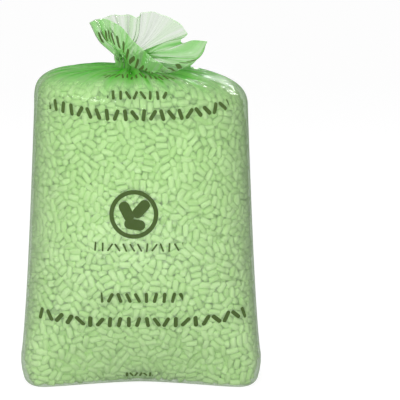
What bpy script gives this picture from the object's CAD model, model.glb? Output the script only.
"""Bag of packing peanuts, dressed: clear green film, gathered and creased, over thousands of foam chips."""

import math

import bmesh
import bpy
import numpy as np
from mathutils import Matrix, Vector


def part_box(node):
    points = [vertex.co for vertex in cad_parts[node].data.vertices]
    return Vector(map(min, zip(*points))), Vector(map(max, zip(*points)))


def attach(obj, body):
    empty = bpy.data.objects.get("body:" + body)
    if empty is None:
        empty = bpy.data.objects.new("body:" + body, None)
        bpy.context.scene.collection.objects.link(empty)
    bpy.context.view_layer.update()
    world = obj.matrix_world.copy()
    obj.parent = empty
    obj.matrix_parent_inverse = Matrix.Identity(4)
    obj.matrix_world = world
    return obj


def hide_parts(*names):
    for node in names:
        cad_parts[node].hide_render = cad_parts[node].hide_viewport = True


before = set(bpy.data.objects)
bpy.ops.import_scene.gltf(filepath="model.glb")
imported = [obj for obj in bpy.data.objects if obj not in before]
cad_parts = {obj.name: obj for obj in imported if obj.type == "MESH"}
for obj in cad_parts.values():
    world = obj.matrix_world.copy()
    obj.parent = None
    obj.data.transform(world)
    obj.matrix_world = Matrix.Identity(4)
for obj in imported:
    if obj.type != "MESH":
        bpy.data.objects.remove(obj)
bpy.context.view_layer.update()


# Film bag. One tube of green polythene film, blown thin, printed in dark green and welded at the foot.
# The chips push it out to a rounded box. Above them it is gathered to a neck, and what is left over
# spreads out as a frill: two fans behind, a lobe on the left, and a fold that falls forward.
film_low, film_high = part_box("film_bag")
HIP_WIDTH = film_high.x - film_low.x
BELLY_DEPTH = film_high.y - film_low.y
FOOT_WIDTH = 0.742
FOOT_DEPTH = 0.410
FOOT_WAIST = 0.105
FOOT_SQUARENESS = 6.0
HEEL_RADIUS = 0.026
HEEL_ROUNDING = 0.030
HIP_HEIGHT = 0.090
FLANK_CURVE = 0.7
BELLY_HEIGHT = 0.450
BODY_SQUARENESS = 2.6
SHOULDER_HEIGHT = 0.900
SHOULDER_WIDTH = 0.688
SHOULDER_DEPTH = 0.470
CROWN_RISE = 0.123
LEFT_SHOULDER_SQUARENESS = 4.2
RIGHT_SHOULDER_SQUARENESS = 2.45
CROWN_HEIGHT = SHOULDER_HEIGHT + CROWN_RISE
NECK_OFFSET = -0.030
NECK_HEIGHT = 0.034
NECK_RADIUS = 0.055
NECK_WAIST = 0.006
NECK_FLARE = 1.3
PLEAT_DEPTH = 0.024
FRILL_PLEAT = 0.004
# One rib for each main pleat, anticlockwise from the right: over its ridge to the mouth (right, back, up).
FRILL_RIBS = np.array((
    ((0.205, -0.050, 0.006), (0.241, -0.040, 0.053)),
    ((0.100, 0.010, 0.032), (0.160, 0.034, 0.044)),
    ((0.104, 0.050, 0.042), (0.180, 0.086, 0.068)),
    ((0.064, 0.062, 0.058), (0.112, 0.103, 0.120)),
    ((0.026, 0.054, 0.060), (0.036, 0.098, 0.132)),
    ((0.006, 0.026, 0.052), (0.018, 0.066, 0.119)),
    ((-0.020, 0.056, 0.056), (-0.022, 0.100, 0.125)),
    ((-0.054, 0.048, 0.053), (-0.094, 0.080, 0.116)),
    ((-0.096, 0.000, 0.048), (-0.130, 0.000, 0.112)),
    ((-0.056, -0.040, 0.052), (-0.064, -0.054, 0.125)),
    ((0.004, -0.078, -0.020), (0.018, -0.085, 0.052)),
    ((0.066, -0.130, -0.030), (0.092, -0.115, -0.006)),
    ((0.130, -0.115, -0.028), (0.160, -0.085, -0.028)),
))
# How many sheets of film lie on each other at each rib: the fans behind are single.
RIB_SHEETS = np.array((3.2, 5.0, 2.2, 0.9, 0.9, 2.2, 1.2, 1.2, 2.6, 4.2, 3.6, 3.4, 2.2))
MAIN_PLEATS = len(FRILL_RIBS)
COLUMNS_PER_PLEAT = 48
FILM_COLUMNS = MAIN_PLEATS * COLUMNS_PER_PLEAT
HEEL_ROWS = 5
WALL_ROWS = 40
SHOULDER_ROWS = 46
NECK_ROWS = 7
FRILL_ROWS = 46
GATHER_DEPTH = 3.8          # above 1: gathered film looks deeper green than its layers alone would
MOST_LAYERS = 3.6           # and where it's tightest, no deeper than this many more layers
SMALL_FOLD = 0.009          # folds on the shoulders, besides the main pleats
FINE_FOLD = 0.006
SHOULDER_SWELL = 0.008      # how far the film bulges out between the walls and the neck
NECK_CREASE = 0.005
FRILL_FOLD = 0.003


def rise(fraction):
    """0 to 1 over the fraction 0 to 1, steep at first and level at the end."""
    return 1.0 - (1.0 - np.clip(fraction, 0.0, 1.0)) ** 2


def half_width(height):
    """Half the body's width at a height."""
    above_hip = np.clip((height - HIP_HEIGHT) / (SHOULDER_HEIGHT - HIP_HEIGHT), 0.0, 1.0)
    low_part = FOOT_WIDTH + (HIP_WIDTH - FOOT_WIDTH) * rise(height / HIP_HEIGHT)
    return (low_part + (SHOULDER_WIDTH - HIP_WIDTH) * above_hip ** FLANK_CURVE) / 2


def half_depth(height):
    """Half the body's depth at a height, away from the waist in its long sides."""
    above_belly = np.clip((height - BELLY_HEIGHT) / (SHOULDER_HEIGHT - BELLY_HEIGHT), 0.0, 1.0)
    low_part = FOOT_DEPTH + (BELLY_DEPTH - FOOT_DEPTH) * rise(height / BELLY_HEIGHT)
    return (low_part + (SHOULDER_DEPTH - BELLY_DEPTH) * above_belly ** 2) / 2


def body_squareness(height):
    """Superellipse exponent of the outline at a height."""
    return BODY_SQUARENESS + (FOOT_SQUARENESS - BODY_SQUARENESS) * (1.0 - rise(height / BELLY_HEIGHT))


def heel_radius(angle):
    """Radius of the round edge at the foot: larger at the middle of the long sides."""
    return HEEL_RADIUS + HEEL_ROUNDING * np.sin(angle) ** 4


def side_pull(x, height):
    """Share by which the long sides curve in at a height."""
    waist = FOOT_WAIST * (1.0 - rise(height / BELLY_HEIGHT)) * (1.0 - (x / half_width(height)) ** 2)
    return 1.0 - waist / half_depth(height)


def wall_points(height, angle, inset=0.0):
    """Points on the walls in a direction from the middle."""
    height, angle = np.broadcast_arrays(height, angle)
    exponent = body_squareness(height)
    across, back = np.cos(angle), np.sin(angle)
    inverse = np.abs(across / half_width(height)) ** exponent + np.abs(back / half_depth(height)) ** exponent
    reach = inverse ** (-1 / exponent) - inset
    x = across * reach
    return np.stack((x, back * reach * side_pull(x, height), height), axis=-1)


def shoulder_squareness(angle):
    """Exponent of the shoulder's curve: square on the left, sloping on the right."""
    side = np.where(np.cos(angle) > 0, RIGHT_SHOULDER_SQUARENESS, LEFT_SHOULDER_SQUARENESS)
    return BODY_SQUARENESS + (side - BODY_SQUARENESS) * np.cos(angle) ** 2


def shoulder_points(out, angle):
    """Points on the shoulders. The share out falls from 1 at the walls to 0 at the neck's axis."""
    exponent = shoulder_squareness(angle)
    rim = wall_points(SHOULDER_HEIGHT, angle)
    axis = np.array((NECK_OFFSET, 0.0, SHOULDER_HEIGHT))
    points = axis + (rim - axis) * out[..., None]
    points[..., 2] += CROWN_RISE * (1.0 - out ** exponent) ** (1 / exponent)
    return points


def even_angles(count):
    """Directions from the middle that space points evenly round the body at the belly, and its girth."""
    samples = np.linspace(0.0, 2 * math.pi, 721)
    points = wall_points(BELLY_HEIGHT, samples)
    lengths = np.concatenate(([0.0], np.cumsum(np.linalg.norm(np.diff(points, axis=0), axis=1))))
    return np.interp(np.arange(count) / count * lengths[-1], lengths, samples), lengths[-1]


def smooth_between(before, start, end, after, share):
    """Catmull-Rom curve from start to end."""
    straight = end - start
    leave = (end - before) / 2
    arrive = (after - start) / 2
    bend = 3 * straight - 2 * leave - arrive
    twist = leave + arrive - 2 * straight
    return start + share * (leave + share * (bend + share * twist))


def rib_points(position, place):
    """Points of the ridge (place 0) or of the mouth (place 1), at positions counted in ribs."""
    first = np.floor(position).astype(int)
    nearby = [FRILL_RIBS[(first + i) % MAIN_PLEATS, place] for i in (-1, 0, 1, 2)]
    return smooth_between(*nearby, (position - first)[:, None])


def creases(turns, counts, rng, sharp=True):
    """Uneven folds round the bag, about -1 to 1: a few counts of sharp or soft waves, added up."""
    wave = np.zeros_like(turns)
    for count in counts:
        phase = rng.uniform(0, 2 * math.pi)
        swing = np.sin(count * turns + phase + 0.6 * np.sin(3 * turns + phase))
        wave += np.arcsin(swing) / 1.6 if sharp else swing
    return wave / math.sqrt(len(counts))


def film_form():
    """Rows of the film from the foot to the mouth, how deep each point is folded in, and its girth."""
    angles, girth = even_angles(FILM_COLUMNS)
    turns = 2 * math.pi * np.arange(FILM_COLUMNS) / FILM_COLUMNS
    rng = np.random.default_rng(8)
    main = (1 - np.cos(MAIN_PLEATS * turns)) / 2
    coarse = creases(turns, (19, 26, 31), rng)
    fine = creases(turns, (47, 61, 74), rng)
    reach = 0.6 + 0.4 * creases(turns, (5, 8, 11), rng)
    soft = creases(turns, (9, 14, 22), rng, sharp=False)
    rows, folds = [], []
    heel = heel_radius(angles)
    for slope in np.linspace(0.0, math.pi / 2, HEEL_ROWS, endpoint=False):
        rows.append(wall_points(heel * (1 - math.cos(slope)), angles, heel * (1 - math.sin(slope))))
        folds.append(0 * turns)
    for share in np.linspace(0.0, 1.0, WALL_ROWS):
        rows.append(wall_points(heel + (SHOULDER_HEIGHT - heel) * share, angles))
        folds.append(0 * turns)
    spoke = wall_points(SHOULDER_HEIGHT, angles) - np.array((NECK_OFFSET, 0.0, SHOULDER_HEIGHT))
    last = NECK_FLARE * NECK_RADIUS / np.linalg.norm(spoke, axis=1)
    for step in range(1, SHOULDER_ROWS + 1):
        turn = math.pi / 2 * step / SHOULDER_ROWS
        out = last + (1.0 - last) * math.cos(turn) ** (2 / shoulder_squareness(angles))
        rows.append(shoulder_points(out, angles))
        near = 1.0 - out
        small = SMALL_FOLD * near * coarse * np.clip(reach, 0.0, 1.0) + FINE_FOLD * near ** 2 * fine
        folds.append(PLEAT_DEPTH * near ** 2 * main + small - SHOULDER_SWELL * near)
    for share in np.linspace(0.1, 1.0, NECK_ROWS):
        radius = NECK_RADIUS - NECK_WAIST * math.sin(math.pi * share)
        height = CROWN_HEIGHT + NECK_HEIGHT * share
        ring = (NECK_OFFSET + radius * np.cos(turns), radius * np.sin(turns), height + 0 * turns)
        rows.append(np.stack(ring, -1))
        folds.append(PLEAT_DEPTH * main + NECK_CREASE * (coarse + fine))
    base = np.array((NECK_OFFSET, 0.0, CROWN_HEIGHT + NECK_HEIGHT))
    position = MAIN_PLEATS * turns / (2 * math.pi)
    ridge = base + rib_points(position, 0)
    mouth = base + rib_points(position, 1)
    mean_radius = NECK_RADIUS - PLEAT_DEPTH / 2
    start = base + np.stack((mean_radius * np.cos(turns), mean_radius * np.sin(turns), 0 * turns), -1)
    below = start - (0.0, 0.0, NECK_HEIGHT)
    for step in range(1, FRILL_ROWS + 1):
        share = 2 * step / FRILL_ROWS
        if share <= 1:
            rows.append(smooth_between(below, start, ridge, mouth, share))
        else:
            rows.append(smooth_between(start, ridge, mouth, 2 * mouth - ridge, share - 1))
        neck_like = max(1 - share, 0.0)
        folds.append(
            PLEAT_DEPTH * neck_like ** 2 * (main - 0.5) + NECK_CREASE * neck_like * fine
            - FRILL_PLEAT * min(share, 1.0) * np.cos(MAIN_PLEATS * turns)
            + FRILL_FOLD * (neck_like * coarse + soft)
        )
    return np.array(rows), np.array(folds), girth


def folded(rows, folds):
    """The rows, moved in along the film's own normal by the depth of its folds."""
    round_it = np.roll(rows, -1, axis=1) - np.roll(rows, 1, axis=1)
    normal = np.cross(round_it, np.gradient(rows, axis=0))
    normal /= np.maximum(np.linalg.norm(normal, axis=2), 1e-9)[..., None]
    return rows - normal * folds[..., None]


def lofted(name, rows, closed_top=False):
    """Mesh over rows of points, each row a ring, with a fan of faces over the first and maybe the last."""
    count = rows.shape[1]
    points = rows.reshape(-1, 3)
    ring = np.arange(count)
    after = (ring + 1) % count
    start = (np.arange(len(rows) - 1) * count)[:, None]
    quads = np.stack((start + ring, start + after, start + count + after, start + count + ring), axis=-1)
    faces = quads.reshape(-1, 4).tolist()
    points = np.vstack((points, rows[0].mean(axis=0)))
    faces += [(j, i, len(points) - 1) for i, j in zip(ring.tolist(), after.tolist())]
    if closed_top:
        top = (len(rows) - 1) * count
        points = np.vstack((points, rows[-1].mean(axis=0)))
        faces += [(top + i, top + j, len(points) - 1) for i, j in zip(ring.tolist(), after.tolist())]
    mesh = bpy.data.meshes.new(name)
    mesh.from_pydata(points.tolist(), [], faces)
    mesh.shade_smooth()
    return mesh


def lay_uv(mesh, name, u, v, wrap):
    """UV map in metres. Corners over the back seam get the wrap added, so no face spans the whole map."""
    corners = np.zeros(len(mesh.loops), dtype=np.int32)
    mesh.loops.foreach_get("vertex_index", corners)
    across, along = np.append(u, 0.0)[corners], np.append(v, 0.0)[corners]
    sizes = np.array([polygon.loop_total for polygon in mesh.polygons])
    starts = np.cumsum(sizes) - sizes
    largest = np.repeat(np.maximum.reduceat(across, starts), sizes)
    across = np.where(largest - across > wrap / 2, across + wrap, across)
    layer = mesh.uv_layers.new(name=name)
    layer.data.foreach_set("uv", np.stack((across, along), axis=-1).astype(np.float32).ravel())


def add_piece(name, mesh):
    """Object with its mesh, linked to the scene, at the origin."""
    piece = bpy.data.objects.new(name, mesh)
    bpy.context.scene.collection.objects.link(piece)
    return piece


def add_node(tree, kind, inputs=(), **settings):
    """Adds a node, sets its properties, and fills or links its inputs, by name or in their order."""
    node = tree.nodes.new(kind)
    for name, value in settings.items():
        setattr(node, name, value)
    for name, value in inputs.items() if isinstance(inputs, dict) else enumerate(inputs):
        socket = node.inputs[name]
        if isinstance(value, bpy.types.NodeSocket):
            tree.links.new(value, socket)
        else:
            socket.default_value = value
    return node


def hex_colour(code):
    """Linear colour of an sRGB hex value."""
    parts = [int(code[i:i + 2], 16) / 255 for i in (1, 3, 5)]
    return (*[c / 12.92 if c <= 0.04045 else ((c + 0.055) / 1.055) ** 2.4 for c in parts], 1.0)


# Printing. One ink, in rows of short rods like the chips, and a round badge.
ROD_HALF_LENGTH = 0.62      # of a row's pitch
BADGE_RING = 0.09           # half the ring's width, of the badge's radius
BADGE_ROD_HALF_LENGTH = 0.43
BADGE_ROD_RADIUS = 0.22
BADGE_RODS = ((-0.30, 0.12, 1.1), (0.30, 0.22, 2.3), (0.04, -0.42, 0.15))   # across, up and turned


def rod_mask(tree, where, half_length, radius):
    """1 inside a printed rod along X with round ends, 0 outside."""
    along, across, _ = add_node(tree, "ShaderNodeSeparateXYZ", (where,)).outputs
    along = add_node(tree, "ShaderNodeMath", (along,), operation="ABSOLUTE").outputs[0]
    straight = half_length - radius
    past = add_node(tree, "ShaderNodeMath", (along, straight), operation="SUBTRACT").outputs[0]
    past = add_node(tree, "ShaderNodeMath", (past, 0.0), operation="MAXIMUM").outputs[0]
    square = add_node(tree, "ShaderNodeMath", (across, across), operation="MULTIPLY").outputs[0]
    square = add_node(tree, "ShaderNodeMath", (past, past, square), operation="MULTIPLY_ADD").outputs[0]
    return add_node(tree, "ShaderNodeMath", (square, radius ** 2), operation="LESS_THAN").outputs[0]


def printed_row(tree, where, middle, row_half, pitch, stroke, seed):
    """Mask of a printed row of strewn rods, each turned its own way."""
    centred = add_node(tree, "ShaderNodeVectorMath", (where, (*middle, 0.0)), operation="SUBTRACT").outputs[0]
    across, up, _ = add_node(tree, "ShaderNodeSeparateXYZ", (centred,)).outputs
    cell = add_node(tree, "ShaderNodeMath", (across, pitch), operation="DIVIDE").outputs[0]
    cell = add_node(tree, "ShaderNodeMath", (cell,), operation="FLOOR").outputs[0]
    cell_seed = add_node(tree, "ShaderNodeMath", (cell, seed), operation="ADD").outputs[0]
    chance = add_node(
        tree, "ShaderNodeTexWhiteNoise", {"W": cell_seed}, noise_dimensions="1D"
    ).outputs["Value"]
    centre = add_node(tree, "ShaderNodeMath", (cell, pitch, pitch / 2), operation="MULTIPLY_ADD").outputs[0]
    local = add_node(tree, "ShaderNodeMath", (across, centre), operation="SUBTRACT").outputs[0]
    here = add_node(tree, "ShaderNodeCombineXYZ", (local, up)).outputs[0]
    turn = add_node(
        tree, "ShaderNodeMath", (chance, math.pi / 2, math.pi / 4), operation="MULTIPLY_ADD"
    ).outputs[0]
    turned = add_node(
        tree, "ShaderNodeVectorRotate", {"Vector": here, "Angle": turn}, rotation_type="Z_AXIS"
    ).outputs[0]
    rod = rod_mask(tree, turned, ROD_HALF_LENGTH * pitch, stroke * pitch)
    from_middle = add_node(tree, "ShaderNodeMath", (across,), operation="ABSOLUTE").outputs[0]
    inside = add_node(tree, "ShaderNodeMath", (from_middle, row_half), operation="LESS_THAN").outputs[0]
    return add_node(tree, "ShaderNodeMath", (rod, inside), operation="MULTIPLY").outputs[0]


def printed_badge(tree, where, middle, radius):
    """Mask of the printed badge: a ring round three rods."""
    centred = add_node(tree, "ShaderNodeVectorMath", (where, (*middle, 0.0)), operation="SUBTRACT").outputs[0]
    far = add_node(tree, "ShaderNodeVectorMath", (centred,), operation="LENGTH").outputs["Value"]
    ring_width = BADGE_RING * radius
    mask = add_node(
        tree, "ShaderNodeMath", (far, radius - ring_width, ring_width), operation="COMPARE"
    ).outputs[0]
    for x, y, turn in BADGE_RODS:
        place = (x * radius, y * radius, 0.0)
        moved = add_node(tree, "ShaderNodeVectorMath", (centred, place), operation="SUBTRACT").outputs[0]
        turned = add_node(
            tree, "ShaderNodeVectorRotate", {"Vector": moved, "Angle": turn}, rotation_type="Z_AXIS"
        ).outputs[0]
        rod = rod_mask(tree, turned, BADGE_ROD_HALF_LENGTH * radius, BADGE_ROD_RADIUS * radius)
        mask = add_node(tree, "ShaderNodeMath", (mask, rod), operation="MAXIMUM").outputs[0]
    return mask


def film_print(tree):
    """Mask of all the printing. The map is in metres: round the bag from the front, and up from the foot."""
    where = add_node(tree, "ShaderNodeUVMap", uv_map="from_foot").outputs[0]
    mouth_side = add_node(tree, "ShaderNodeUVMap", uv_map="from_mouth").outputs[0]
    mask = printed_badge(tree, where, (-0.023, 0.642), 0.078)
    # Each row's middle, half length and pitch in metres, stroke as a share of the pitch, and seed.
    for around, middle, row_half, pitch, stroke, seed in (
        (where, (-0.010, 0.062), 0.058, 0.018, 0.24, 3.0),
        (where, (0.006, 0.281), 0.335, 0.031, 0.21, 11.0),
        (where, (0.003, 0.368), 0.132, 0.029, 0.19, 29.0),
        (where, (-0.016, 0.535), 0.150, 0.0235, 0.12, 41.0),
        (where, (-0.006, 0.957), 0.322, 0.031, 0.21, 57.0),
        (where, (-0.004, 1.022), 0.114, 0.027, 0.19, 71.0),
        (where, (0.010, 1.120), 0.200, 0.027, 0.19, 83.0),
        (mouth_side, (0.010, 0.058), 0.480, 0.034, 0.22, 97.0),
    ):
        row = printed_row(tree, around, middle, row_half, pitch, stroke, seed)
        mask = add_node(tree, "ShaderNodeMath", (mask, row), operation="MAXIMUM").outputs[0]
    return mask


STREAK_RELIEF = 4.0         # how much stronger the pleat marks are than the dents
STREAK_DEPTH = 2.6          # how much the pleats change the count of layers
CLEARNESS = 0.90            # share of the light that the film lets through, seen straight on
LOST_AT_SLANT = 0.32
HAZE_PER_LAYER = 0.14
MOST_HAZE = 0.85
HAZE_AT_SLANT = 0.25
RIM_HAZE = 0.6              # the cut edge at the mouth shows paler
RIM_WIDTH = 0.0035
GLOSS = 0.07
GLOSS_AT_SLANT = 0.16       # more gloss, seen at a slant
INK_COVER = 0.78
INK_UNEVENNESS = 0.25


def film_material():
    """Blown polythene film, 50 microns: clear, pale green and glossy, and deeper green where it is gathered.

    Its haze shows as a milky veil, most where the film lies in many layers.
    The ink is thin and a little uneven.
    """
    material = bpy.data.materials.new("blown_polythene_film")
    material.use_nodes = True
    tree = material.node_tree
    tree.nodes.clear()
    object_place = add_node(tree, "ShaderNodeTexCoord").outputs["Object"]
    around = add_node(tree, "ShaderNodeUVMap", uv_map="from_foot").outputs[0]
    from_foot = add_node(tree, "ShaderNodeSeparateXYZ", (around,)).outputs["Y"]
    above_walls = add_node(
        tree, "ShaderNodeMath", (from_foot, 6.0, -6.0 * SHOULDER_HEIGHT), operation="MULTIPLY_ADD"
    ).outputs[0]
    gathered = add_node(tree, "ShaderNodeClamp", (above_walls,)).outputs[0]
    # Dents where chips press on the film, about 26 mm apart, and pleat marks about 30 mm apart above them.
    dents = add_node(
        tree, "ShaderNodeTexNoise", {"Vector": object_place, "Scale": 38.0, "Detail": 2.0}
    ).outputs["Fac"]
    stretched = add_node(
        tree, "ShaderNodeVectorMath", (around, (34.0, 3.0, 0.0)), operation="MULTIPLY"
    ).outputs[0]
    streaks = add_node(
        tree, "ShaderNodeTexNoise", {"Vector": stretched, "Scale": 1.0, "Detail": 2.0}
    ).outputs["Fac"]
    marks = add_node(tree, "ShaderNodeMath", (streaks, gathered), operation="MULTIPLY").outputs[0]
    relief = add_node(
        tree, "ShaderNodeMath", (marks, STREAK_RELIEF, dents), operation="MULTIPLY_ADD"
    ).outputs[0]
    dented = add_node(
        tree, "ShaderNodeBump", {"Strength": 0.5, "Distance": 0.005, "Height": relief}
    ).outputs["Normal"]
    # How many layers the light goes through: more in a pleat, and more where the film is seen at a slant.
    facing = add_node(tree, "ShaderNodeLayerWeight", {"Normal": dented}).outputs["Facing"]
    slanted = add_node(tree, "ShaderNodeMath", (facing, 2.0), operation="POWER").outputs[0]
    layers = add_node(tree, "ShaderNodeAttribute", attribute_name="layers").outputs["Fac"]
    uneven = add_node(tree, "ShaderNodeMath", (streaks, 0.5), operation="SUBTRACT").outputs[0]
    uneven = add_node(tree, "ShaderNodeMath", (uneven, gathered), operation="MULTIPLY").outputs[0]
    in_pleats = add_node(
        tree, "ShaderNodeMath", (uneven, STREAK_DEPTH, 1.0), operation="MULTIPLY_ADD"
    ).outputs[0]
    longer_way = add_node(tree, "ShaderNodeMath", (slanted, 1.0), operation="ADD").outputs[0]
    for share in (in_pleats, longer_way):
        layers = add_node(tree, "ShaderNodeMath", (layers, share), operation="MULTIPLY").outputs[0]
    tint = add_node(tree, "ShaderNodeGamma", (hex_colour("#F5FBF2"), layers)).outputs[0]
    kept = add_node(
        tree, "ShaderNodeMath", (slanted, -LOST_AT_SLANT, CLEARNESS), operation="MULTIPLY_ADD"
    ).outputs[0]
    tint = add_node(tree, "ShaderNodeVectorMath", {0: tint, "Scale": kept}, operation="SCALE").outputs[0]
    clear = add_node(tree, "ShaderNodeBsdfTransparent", {"Color": tint}).outputs[0]
    # Haze: each layer scatters a share of the light, back to the front or through to the other side.
    cloud = add_node(tree, "ShaderNodeGamma", (hex_colour("#E4F8DA"), layers)).outputs[0]
    scatter = add_node(
        tree, "ShaderNodeBsdfDiffuse", {"Color": cloud, "Roughness": 1.0, "Normal": dented}
    ).outputs[0]
    glow = add_node(tree, "ShaderNodeBsdfTranslucent", {"Color": cloud, "Normal": dented}).outputs[0]
    milk = add_node(tree, "ShaderNodeMixShader", (0.3, scatter, glow)).outputs[0]
    unscattered = add_node(
        tree, "ShaderNodeMath", (1.0 - HAZE_PER_LAYER, layers), operation="POWER"
    ).outputs[0]
    haze = add_node(tree, "ShaderNodeMath", (1.0, unscattered), operation="SUBTRACT").outputs[0]
    haze = add_node(tree, "ShaderNodeMath", (haze, MOST_HAZE), operation="MINIMUM").outputs[0]
    from_mouth = add_node(tree, "ShaderNodeUVMap", uv_map="from_mouth").outputs[0]
    to_mouth = add_node(tree, "ShaderNodeSeparateXYZ", (from_mouth,)).outputs["Y"]
    rim = add_node(tree, "ShaderNodeMath", (to_mouth, RIM_WIDTH), operation="LESS_THAN").outputs[0]
    for place, share in ((slanted, HAZE_AT_SLANT), (rim, RIM_HAZE)):
        more = add_node(tree, "ShaderNodeMath", (place, share), operation="MULTIPLY").outputs[0]
        haze = add_node(tree, "ShaderNodeMath", (haze, more), operation="MAXIMUM").outputs[0]
    body = add_node(tree, "ShaderNodeMixShader", (haze, clear, milk)).outputs[0]
    shine = add_node(
        tree, "ShaderNodeBsdfGlossy", {"Color": hex_colour("#FFFFFF"), "Roughness": 0.10, "Normal": dented}
    ).outputs[0]
    gloss = add_node(
        tree, "ShaderNodeMath", (slanted, GLOSS_AT_SLANT, GLOSS), operation="MULTIPLY_ADD"
    ).outputs[0]
    film = add_node(tree, "ShaderNodeMixShader", (gloss, body, shine)).outputs[0]
    # Ink, thin enough that the chips show through it, with patches of about 4 mm.
    ink = add_node(
        tree, "ShaderNodeBsdfDiffuse", {"Color": hex_colour("#465A2B"), "Roughness": 1.0}
    ).outputs[0]
    worn = add_node(
        tree, "ShaderNodeTexNoise", {"Vector": object_place, "Scale": 240.0, "Detail": 1.0}
    ).outputs["Fac"]
    cover = add_node(
        tree, "ShaderNodeMath", (worn, INK_UNEVENNESS, INK_COVER), operation="MULTIPLY_ADD"
    ).outputs[0]
    inked = add_node(tree, "ShaderNodeMath", (film_print(tree), cover), operation="MULTIPLY").outputs[0]
    printed = add_node(tree, "ShaderNodeMixShader", (inked, film, ink)).outputs[0]
    add_node(tree, "ShaderNodeOutputMaterial", {"Surface": printed})
    return material


def film_piece():
    """The film, with how many layers lie at each point, and the printing's two maps."""
    rows, folds, girth = film_form()
    run = np.linalg.norm(np.diff(rows, axis=0), axis=2)
    from_foot = np.vstack((np.zeros((1, FILM_COLUMNS)), np.cumsum(run, axis=0)))
    from_mouth = from_foot[-1] - from_foot
    grid = folded(rows, folds)
    unfolded = np.linalg.norm(np.roll(rows, -1, axis=1) - rows, axis=2).sum(axis=1)
    gathered = np.clip(girth / unfolded, 1.0, None)[:, None] ** GATHER_DEPTH
    gathered = 1.0 + MOST_LAYERS * (1.0 - np.exp((1.0 - gathered) / MOST_LAYERS))
    column = np.arange(FILM_COLUMNS)
    every_rib = np.append(RIB_SHEETS, RIB_SHEETS[0])
    sheets = np.interp(column / COLUMNS_PER_PLEAT, np.arange(MAIN_PLEATS + 1), every_rib)
    neck_foot = len(rows) - FRILL_ROWS - NECK_ROWS
    in_frill = rise((np.arange(len(rows)) - neck_foot) / (2 * NECK_ROWS))[:, None]
    layers = (gathered * (1.0 - in_frill) + sheets * in_frill).ravel()
    front = 0.75 * girth    # the way round to the middle of the front
    around = (column / FILM_COLUMNS * girth - front + girth / 2) % girth - girth / 2
    around = np.tile(around, len(rows))
    mesh = lofted("film", grid)
    layer_count = mesh.attributes.new("layers", "FLOAT", "POINT")
    layer_count.data.foreach_set("value", np.append(layers, 1.0).astype(np.float32))
    lay_uv(mesh, "from_foot", around, from_foot.ravel(), girth)
    lay_uv(mesh, "from_mouth", around, from_mouth.ravel(), girth)
    mesh.materials.append(film_material())
    film = add_piece("film", mesh)
    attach(film, "root")
    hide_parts("film_bag")


film_piece()


# Foam chips, packed. Each is cut from a thin rope of extruded starch foam: a short rod with soft ends.
# The outer layers are packed here as they settle in the bag: chips start at random, and push each
# other away until none lies in another. The film stands off them, most at the shoulders and the foot.
CHIP_LENGTH = 0.037
CHIP_DIAMETER = 0.022
CHIP_SIDES = 8
CHIP_SIZE_SPREAD = 0.08
CHIP_DENT = 0.004
SHELL_DEPTH = 0.050         # how deep the outer layers reach
FILM_STANDOFF = 0.005       # how far the film stands off the chips
SIDE_STANDOFF = 0.003       # how much more at the left and right sides
SHOULDER_STANDOFF = 0.013   # how much more under the shoulders, from SHOULDER_START up
SHOULDER_START = 0.84
FOOT_STANDOFF = 0.009       # how much more at the foot
BAND_HEIGHT = 0.14          # the shoulders' and the foot's come in over this height
PACKING = 0.68              # the chips' share of the outer layers
SEED_TRIES = 400000
SETTLING_ROUNDS = 70
SETTLING_PUSH = 0.6
BED_SHARE = 0.62            # the loose chips' bed, as a share of the way from the neck's axis to the walls
fill_low, fill_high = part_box("peanut_fill")


def film_level(points):
    """How far out points lie: 1 on the film and less inside, with the outline's share and direction."""
    x, y, z = points[:, 0], points[:, 1], points[:, 2]
    height = np.clip(z, 0.0, SHOULDER_HEIGHT)
    width, depth, exponent = half_width(height), half_depth(height), body_squareness(height)
    axis = NECK_OFFSET * np.clip((height - BELLY_HEIGHT) / (SHOULDER_HEIGHT - BELLY_HEIGHT), 0.0, 1.0)
    # How far the outline leans to the neck's axis depends on the share out, which settles in a few rounds.
    out = np.full(len(points), 0.9)
    for _ in range(4):
        across = (x - axis * (1.0 - out)) / out
        back = y / out / side_pull(np.clip(across, -width, width), height)
        out = out * (np.abs(across / width) ** exponent + np.abs(back / depth) ** exponent) ** (1 / exponent)
        out = np.maximum(out, 0.05)
    angle = np.arctan2(back, across)
    curve = shoulder_squareness(angle)
    up = np.clip((z - SHOULDER_HEIGHT) / CROWN_RISE, 0.0, None)
    level = np.where(up > 0, (out ** curve + up ** curve) ** (1 / curve), out)
    return level, out, angle


def room(points):
    """Free distance from each point to the film, the floor or the loose chips' bed, and the way inwards."""
    step = 0.001
    level, out, angle = film_level(points)
    slope = np.empty_like(points)
    for i in range(3):
        moved = points.copy()
        moved[:, i] += step
        slope[:, i] = (film_level(moved)[0] - level) / step
    steep = np.maximum(np.linalg.norm(slope, axis=1), 1e-6)
    x, z = points[:, 0], points[:, 2]
    high = rise((z - SHOULDER_START) / BAND_HEIGHT)
    to_right = rise(x / 0.2)
    off_axis = np.clip((out - 0.5) / 0.3, 0.0, 1.0)     # 0 round the neck's axis, 1 near the walls
    standoff = FILM_STANDOFF + SIDE_STANDOFF * np.cos(angle) ** 8 * (1.0 - 0.3 * to_right)
    standoff += SHOULDER_STANDOFF * high * (0.3 + 0.7 * to_right) * off_axis
    standoff += FOOT_STANDOFF * np.clip(1.0 - z / BAND_HEIGHT, 0.0, 1.0)
    radius = heel_radius(angle)
    low = np.clip(radius - z, 0.0, radius)
    heel = radius - np.sqrt(radius ** 2 - low ** 2)
    free = (1.0 - level) / steep - standoff - heel
    inwards = -slope / steep[:, None]
    to_floor = z - fill_low.z - CHIP_DENT
    to_bed = np.where(out < BED_SHARE, fill_high.z - z, 1.0)
    for other, direction in ((to_floor, 1.0), (to_bed, -1.0)):
        nearer = other < free
        free = np.where(nearer, other, free)
        inwards[nearer] = (0.0, 0.0, direction)
    return free, inwards


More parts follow.
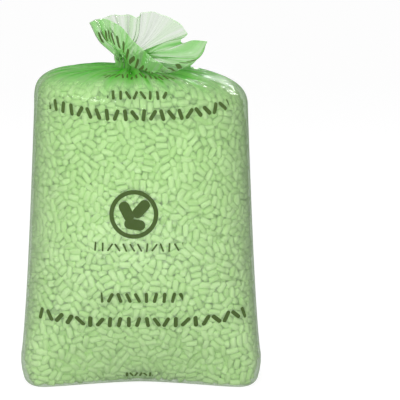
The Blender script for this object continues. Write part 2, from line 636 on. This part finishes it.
def close_pairs(points, reach, owner):
    """Pairs of points nearer than the reach that belong to different chips."""
    cell = np.floor(points / reach).astype(np.int64)
    cell -= cell.min(0) - 1
    size = cell.max(0) + 2
    key = (cell[:, 0] * size[1] + cell[:, 1]) * size[2] + cell[:, 2]
    order = np.argsort(key, kind="stable")
    sorted_key = key[order]
    first, second = [], []
    for dx in (-1, 0, 1):
        for dy in (-1, 0, 1):
            for dz in (-1, 0, 1):
                other = key + (dx * size[1] + dy) * size[2] + dz
                start = np.searchsorted(sorted_key, other, "left")
                end = np.searchsorted(sorted_key, other, "right")
                for k in range(int((end - start).max())):
                    here = np.flatnonzero(start + k < end)
                    there = order[start[here] + k]
                    keep = owner[here] < owner[there]
                    first.append(here[keep])
                    second.append(there[keep])
    first, second = np.concatenate(first), np.concatenate(second)
    near = np.linalg.norm(points[first] - points[second], axis=1) < reach
    return first[near], second[near]


def pack_chips():
    """Middles and directions of the chips in the outer layers of the fill."""
    rng = np.random.default_rng(5)
    radius = CHIP_DIAMETER / 2
    half = CHIP_LENGTH / 2 - radius
    volume = math.pi * radius ** 2 * (2 * half + 4 * radius / 3)
    margin = 0.02
    box_low, box_high = np.array(fill_low) - margin, np.array(fill_high) + margin
    seeds = box_low + (box_high - box_low) * rng.random((SEED_TRIES, 3))
    free = room(seeds)[0]
    seeds = seeds[(free > 0.0) & (free < SHELL_DEPTH)]
    shell = len(seeds) / SEED_TRIES * np.prod(box_high - box_low)
    count = int(shell * PACKING / volume)
    place = seeds[:count]
    lie = rng.normal(size=(count, 3))
    lie /= np.linalg.norm(lie, axis=1)[:, None]
    owner = np.repeat(np.arange(count), 3)
    ends = np.tile((-half, 0.0, half), count)[:, None]
    for turn in range(SETTLING_ROUNDS):
        balls = place[owner] + lie[owner] * ends
        if turn % 5 == 0:   # balls touch at twice the radius, and may move a little before the next search
            pairs = close_pairs(balls, 2.5 * radius, owner)
        gap = balls[pairs[0]] - balls[pairs[1]]
        length = np.maximum(np.linalg.norm(gap, axis=1), 1e-6)
        push = gap * (np.clip(2 * radius - length, 0.0, None) / length * 0.5)[:, None]
        move = np.zeros_like(balls)
        for i in range(3):
            move[:, i] += np.bincount(pairs[0], push[:, i], len(balls))
            move[:, i] -= np.bincount(pairs[1], push[:, i], len(balls))
        move *= SETTLING_PUSH
        free, inwards = room(balls + move)
        short = np.clip(radius - free, 0.0, None) - np.clip(free - SHELL_DEPTH + radius, 0.0, None)
        move += inwards * short[:, None]
        by_chip = move.reshape(count, 3, 3)
        place = place + by_chip.mean(axis=1)
        lie = lie * half + (by_chip[:, 2] - by_chip[:, 0]) / 2
        lie /= np.linalg.norm(lie, axis=1)[:, None]
    return place, lie


def foam_material():
    """Starch foam, extruded: matt and pale green, each chip its own tone, with a finely cellular skin."""
    material = bpy.data.materials.new("extruded_starch_foam")
    material.use_nodes = True
    tree = material.node_tree
    shader = tree.nodes["Principled BSDF"]
    shader.inputs["Roughness"].default_value = 0.85
    shader.inputs["Specular IOR Level"].default_value = 0.25
    where = add_node(tree, "ShaderNodeTexCoord").outputs["Object"]
    # Tone: its own for each chip, with blotches of about 11 mm.
    tone = add_node(tree, "ShaderNodeAttribute", attribute_name="tone").outputs["Fac"]
    blotch = add_node(
        tree, "ShaderNodeTexNoise", {"Vector": where, "Scale": 90.0, "Detail": 2.0}
    ).outputs["Fac"]
    own = add_node(tree, "ShaderNodeMath", (tone, 0.65), operation="MULTIPLY").outputs[0]
    mixed = add_node(tree, "ShaderNodeMath", (blotch, 0.35, own), operation="MULTIPLY_ADD").outputs[0]
    ramp = add_node(tree, "ShaderNodeValToRGB", (mixed,))
    ramp.color_ramp.elements[0].color = hex_colour("#C1E29A")
    ramp.color_ramp.elements[1].color = hex_colour("#DDF4BE")
    tree.links.new(ramp.outputs["Color"], shader.inputs["Base Color"])
    # Cells of about 1 mm in the skin, drawn coarser than the real ones so that they show.
    cells = add_node(tree, "ShaderNodeTexVoronoi", {"Vector": where, "Scale": 900.0}).outputs["Distance"]
    skin = add_node(tree, "ShaderNodeBump", {"Strength": 0.25, "Distance": 0.0006, "Height": cells})
    tree.links.new(skin.outputs["Normal"], shader.inputs["Normal"])
    return material


def chip_mesh():
    """One chip along X: a rod with soft ends and a slight waist."""
    radius = CHIP_DIAMETER / 2
    half = CHIP_LENGTH / 2
    soft_end = 0.30 * radius
    profile = ((-half, 0.66), (soft_end - half, 0.96), (0.0, 1.0), (half - soft_end, 0.96), (half, 0.66))
    bm = bmesh.new()
    rows = []
    for x, share in profile:
        row = []
        for i in range(CHIP_SIDES):
            turn = 2 * math.pi * i / CHIP_SIDES
            row.append(bm.verts.new((x, share * radius * math.cos(turn), share * radius * math.sin(turn))))
        rows.append(row)
    for left, right in zip(rows, rows[1:]):
        for i in range(CHIP_SIDES):
            j = (i + 1) % CHIP_SIDES
            bm.faces.new((left[i], right[i], right[j], left[j]))
    bm.faces.new(rows[0])
    bm.faces.new(reversed(rows[-1]))
    bmesh.ops.recalc_face_normals(bm, faces=bm.faces)
    mesh = bpy.data.meshes.new("foam_chip")
    bm.to_mesh(mesh)
    bm.free()
    mesh.shade_smooth()
    return mesh


def chip_tree():
    """Geometry nodes that put a chip on each point, in its own direction, size and tone, slightly dented."""
    tree = bpy.data.node_groups.new("packed chips", "GeometryNodeTree")
    for name, kind in (
        ("Geometry", "Geometry"), ("Chip", "Object"), ("Size spread", "Float"),
        ("Dent depth", "Float"), ("Seed", "Int"), ("Material", "Material"),
    ):
        tree.interface.new_socket(name, in_out="INPUT", socket_type="NodeSocket" + kind)
    tree.interface.new_socket("Geometry", in_out="OUTPUT", socket_type="NodeSocketGeometry")
    given = tree.nodes.new("NodeGroupInput").outputs
    lie = add_node(
        tree, "GeometryNodeInputNamedAttribute", {"Name": "lie"}, data_type="FLOAT_VECTOR"
    ).outputs["Attribute"]
    spin = add_node(tree, "FunctionNodeRandomValue", {"Max": 2 * math.pi, "Seed": given["Seed"]}).outputs[1]
    roll = add_node(
        tree, "FunctionNodeAxisAngleToRotation", {"Axis": (1.0, 0.0, 0.0), "Angle": spin}
    ).outputs[0]
    aim = add_node(
        tree, "FunctionNodeAlignRotationToVector", {"Rotation": roll, "Vector": lie}, axis="X"
    ).outputs[0]
    least = add_node(tree, "ShaderNodeMath", (1.0, given["Size spread"]), operation="SUBTRACT").outputs[0]
    most = add_node(tree, "ShaderNodeMath", (1.0, given["Size spread"]), operation="ADD").outputs[0]
    size = add_node(
        tree, "FunctionNodeRandomValue",
        {"Min": least, "Max": most, "Seed": given["Seed"]}, data_type="FLOAT_VECTOR",
    ).outputs[0]
    tone = add_node(tree, "FunctionNodeRandomValue", {"Seed": given["Seed"]}).outputs[1]
    toned = add_node(
        tree, "GeometryNodeStoreNamedAttribute",
        {"Geometry": given["Geometry"], "Name": "tone", "Value": tone},
    ).outputs[0]
    chip = add_node(tree, "GeometryNodeObjectInfo", {"Object": given["Chip"]}).outputs["Geometry"]
    put = add_node(
        tree, "GeometryNodeInstanceOnPoints",
        {"Points": toned, "Instance": chip, "Rotation": aim, "Scale": size},
    ).outputs[0]
    real = add_node(tree, "GeometryNodeRealizeInstances", {"Geometry": put}).outputs[0]
    # Each chip is pressed out of shape a little by the ones round it.
    press = add_node(tree, "ShaderNodeTexNoise", {"Scale": 60.0, "Detail": 0.0}).outputs["Color"]
    press = add_node(tree, "ShaderNodeVectorMath", (press, (0.5, 0.5, 0.5)), operation="SUBTRACT").outputs[0]
    shift = add_node(
        tree, "ShaderNodeVectorMath", {0: press, "Scale": given["Dent depth"]}, operation="SCALE"
    ).outputs[0]
    dented = add_node(tree, "GeometryNodeSetPosition", {"Geometry": real, "Offset": shift}).outputs[0]
    dressed = add_node(
        tree, "GeometryNodeSetMaterial", {"Geometry": dented, "Material": given["Material"]}
    ).outputs[0]
    add_node(tree, "NodeGroupOutput", {"Geometry": dressed})
    return tree


def place_chips(name, places, lies, seed):
    """Piece with a chip at each place, made plain mesh."""
    mesh = bpy.data.meshes.new(name)
    mesh.from_pydata(places.tolist(), [], [])
    lie = mesh.attributes.new("lie", "FLOAT_VECTOR", "POINT")
    lie.data.foreach_set("vector", lies.astype(np.float32).ravel())
    carrier = add_piece(name + "_points", mesh)
    modifier = carrier.modifiers.new("chips", "NODES")
    modifier.node_group = chip_nodes
    values = {
        "Chip": chip_shape, "Size spread": CHIP_SIZE_SPREAD, "Dent depth": CHIP_DENT,
        "Seed": seed, "Material": foam,
    }
    for item in chip_nodes.interface.items_tree:
        if item.in_out == "INPUT" and item.name in values:
            modifier[item.identifier] = values[item.name]
    bpy.context.view_layer.update()
    made = bpy.data.meshes.new_from_object(carrier.evaluated_get(bpy.context.evaluated_depsgraph_get()))
    made.shade_smooth()
    bpy.data.objects.remove(carrier)
    piece = add_piece(name, made)
    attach(piece, "root")
    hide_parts("peanut_fill")


foam = foam_material()
chip_nodes = chip_tree()
chip_shape = add_piece("chip_shape", chip_mesh())
chip_places, chip_lies = pack_chips()
chip_heights = chip_places[:, 2]
layer_edges = np.quantile(chip_heights, (0.0, 1 / 3, 2 / 3, 1.0))
for number, name in enumerate(("packed_chips_low", "packed_chips_middle", "packed_chips_high")):
    chosen = (chip_heights >= layer_edges[number]) & (chip_heights < layer_edges[number + 1])
    place_chips(name, chip_places[chosen], chip_lies[chosen], number)


# Chips deep in the bag. They only show as a dim tone between the outer ones, so one inner body
# stands for them.
def chip_core():
    """Smooth inner body, as deep under the film as the outer chips' middles can lie."""
    angles = even_angles(120)[0]
    depth = SHELL_DEPTH - CHIP_DIAMETER / 2
    rows = [wall_points(height, angles, depth) for height in np.linspace(depth, SHOULDER_HEIGHT, 40)]
    share = 1.0 - depth / (BELLY_DEPTH / 2)
    for out in (0.9, 0.8, 0.7, BED_SHARE):
        row = shoulder_points(np.full(len(angles), out), angles)
        row[:, :2] *= share
        row[:, 2] = np.minimum(row[:, 2], fill_high.z) - depth
        rows.append(row)
    mesh = lofted("chip_core", np.array(rows), closed_top=True)
    mesh.materials.append(foam)
    piece = add_piece("chip_core", mesh)
    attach(piece, "root")
    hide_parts("peanut_fill")


chip_core()


# Loose chips of the top layer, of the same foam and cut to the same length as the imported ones. They lie
# on those with nothing to hold them, one piece each, where the CAD model has them.
def loose_chip(node):
    """Chip in the middle of the node's box, turned towards its farthest corner."""
    low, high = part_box(node)
    middle = (low + high) / 2
    corners = [vertex.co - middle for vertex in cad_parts[node].data.vertices]
    tip = max(corners, key=lambda corner: corner.xy.length)
    mesh = chip_shape.data.copy()
    mesh.materials.append(foam)
    heading = tip.xy.to_3d().to_track_quat("X", "Z").to_matrix().to_4x4()
    mesh.transform(Matrix.Translation(middle) @ heading)
    piece = add_piece("loose_" + node, mesh)
    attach(piece, "root")
    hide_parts(node)


for cad_node in sorted(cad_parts):
    if cad_node.startswith("peanut_") and cad_node != "peanut_fill":
        loose_chip(cad_node)
bpy.data.objects.remove(chip_shape)


# Floor, studio light and camera. The floor and the surround are plain white. Soft lamps near the
# camera, above and behind light the bag, and two narrow ones only put highlights on the film.
LAMP_DISTANCE = 4.0
SOFT_LAMPS = (              # azimuth, elevation, width, height and level
    ("front_lamp", -3, 11, 1.4, 1.4, 0.77),
    ("top_lamp", -20, 60, 1.6, 1.6, 0.24),
    ("back_lamp", -170, 45, 1.6, 1.6, 0.50),
)
NARROW_LAMPS = (
    ("crest_lamp", 150, 30, 2.4, 0.10, 0.20),
    ("glint_lamp", -30, 28, 1.6, 0.20, 0.04),
)
CAMERA_DISTANCE = 9.0
CAMERA_ELEVATION = 11.0
AIM_HEIGHT = 0.588
PICTURE_WIDTH = 1.298       # metres across the picture at the bag
SIDE_SHIFT = 0.1475         # the bag stands left of the picture's middle


def floor_piece():
    """Matt floor that keeps the bag's shadow, and looks nearly white to the camera."""
    mesh = bpy.data.meshes.new("floor")
    mesh.from_pydata([(-30, -30, 0), (30, -30, 0), (30, 30, 0), (-30, 30, 0)], [], [(0, 1, 2, 3)])
    floor = add_piece("floor", mesh)
    material = bpy.data.materials.new("white_floor")
    material.use_nodes = True
    tree = material.node_tree
    tree.nodes.clear()
    matt = add_node(tree, "ShaderNodeBsdfDiffuse", {"Color": hex_colour("#CACACA")}).outputs[0]
    glow = add_node(tree, "ShaderNodeEmission", {"Color": hex_colour("#FFFFFF"), "Strength": 1.24}).outputs[0]
    to_camera = add_node(tree, "ShaderNodeLightPath").outputs["Is Camera Ray"]
    seen = add_node(tree, "ShaderNodeMath", (to_camera, 0.75), operation="MULTIPLY").outputs[0]
    mixed = add_node(tree, "ShaderNodeMixShader", (seen, matt, glow)).outputs[0]
    add_node(tree, "ShaderNodeOutputMaterial", {"Surface": mixed})
    mesh.materials.append(material)


def box_lamp(name, azimuth, elevation, width, height, level):
    """Box lamp, aimed at the bag's middle. Its level is what it adds on a face turned to it."""
    lamp = bpy.data.lights.new(name, "AREA")
    lamp.shape = "RECTANGLE"
    lamp.size = width
    lamp.size_y = height
    lamp.energy = level * (math.pi * LAMP_DISTANCE) ** 2
    holder = bpy.data.objects.new(name, lamp)
    turn, tilt = math.radians(azimuth), math.radians(elevation)
    aim = Vector((0.0, 0.0, 0.6))
    away = Vector((math.sin(turn) * math.cos(tilt), -math.cos(turn) * math.cos(tilt), math.sin(tilt)))
    holder.location = aim + LAMP_DISTANCE * away
    holder.rotation_euler = away.to_track_quat("Z", "Y").to_euler()
    bpy.context.scene.collection.objects.link(holder)
    return holder


def studio():
    """White room, dimmer to the left and right so that the bag's sides fall off, and the lamps."""
    world = bpy.data.worlds.new("studio")
    bpy.context.scene.world = world
    world.use_nodes = True
    tree = world.node_tree
    tree.nodes.clear()
    heading = add_node(tree, "ShaderNodeTexCoord").outputs["Generated"]
    sideways = add_node(tree, "ShaderNodeSeparateXYZ", (heading,)).outputs["X"]
    sideways = add_node(tree, "ShaderNodeMath", (sideways,), operation="ABSOLUTE").outputs[0]
    to_side = add_node(tree, "ShaderNodeMath", (sideways, 1.2), operation="POWER").outputs[0]
    level = add_node(tree, "ShaderNodeMath", (to_side, -0.42, 0.50), operation="MULTIPLY_ADD").outputs[0]
    room_light = add_node(tree, "ShaderNodeBackground", (hex_colour("#FFFFFF"), level)).outputs[0]
    white = add_node(tree, "ShaderNodeBackground", (hex_colour("#FFFFFF"), 1.0)).outputs[0]
    to_camera = add_node(tree, "ShaderNodeLightPath").outputs["Is Camera Ray"]
    mixed = add_node(tree, "ShaderNodeMixShader", (to_camera, room_light, white)).outputs[0]
    add_node(tree, "ShaderNodeOutputWorld", {"Surface": mixed})
    for lamp in SOFT_LAMPS:
        box_lamp(*lamp).visible_glossy = False
    for lamp in NARROW_LAMPS:
        box_lamp(*lamp).visible_diffuse = False


def camera():
    """Long lens, a little above the bag's middle."""
    data = bpy.data.cameras.new("camera")
    data.sensor_width = 36.0
    data.lens = data.sensor_width * CAMERA_DISTANCE / PICTURE_WIDTH
    data.shift_x = SIDE_SHIFT
    data.clip_end = 100.0
    holder = bpy.data.objects.new("camera", data)
    tilt = math.radians(CAMERA_ELEVATION)
    away = Vector((0.0, -math.cos(tilt), math.sin(tilt)))
    holder.location = Vector((0.0, 0.0, AIM_HEIGHT)) + CAMERA_DISTANCE * away
    holder.rotation_euler = away.to_track_quat("Z", "Y").to_euler()
    bpy.context.scene.collection.objects.link(holder)
    bpy.context.scene.camera = holder


floor_piece()
studio()
camera()
scene = bpy.context.scene
scene.view_settings.view_transform = "Standard"
scene.cycles.transparent_max_bounces = 40
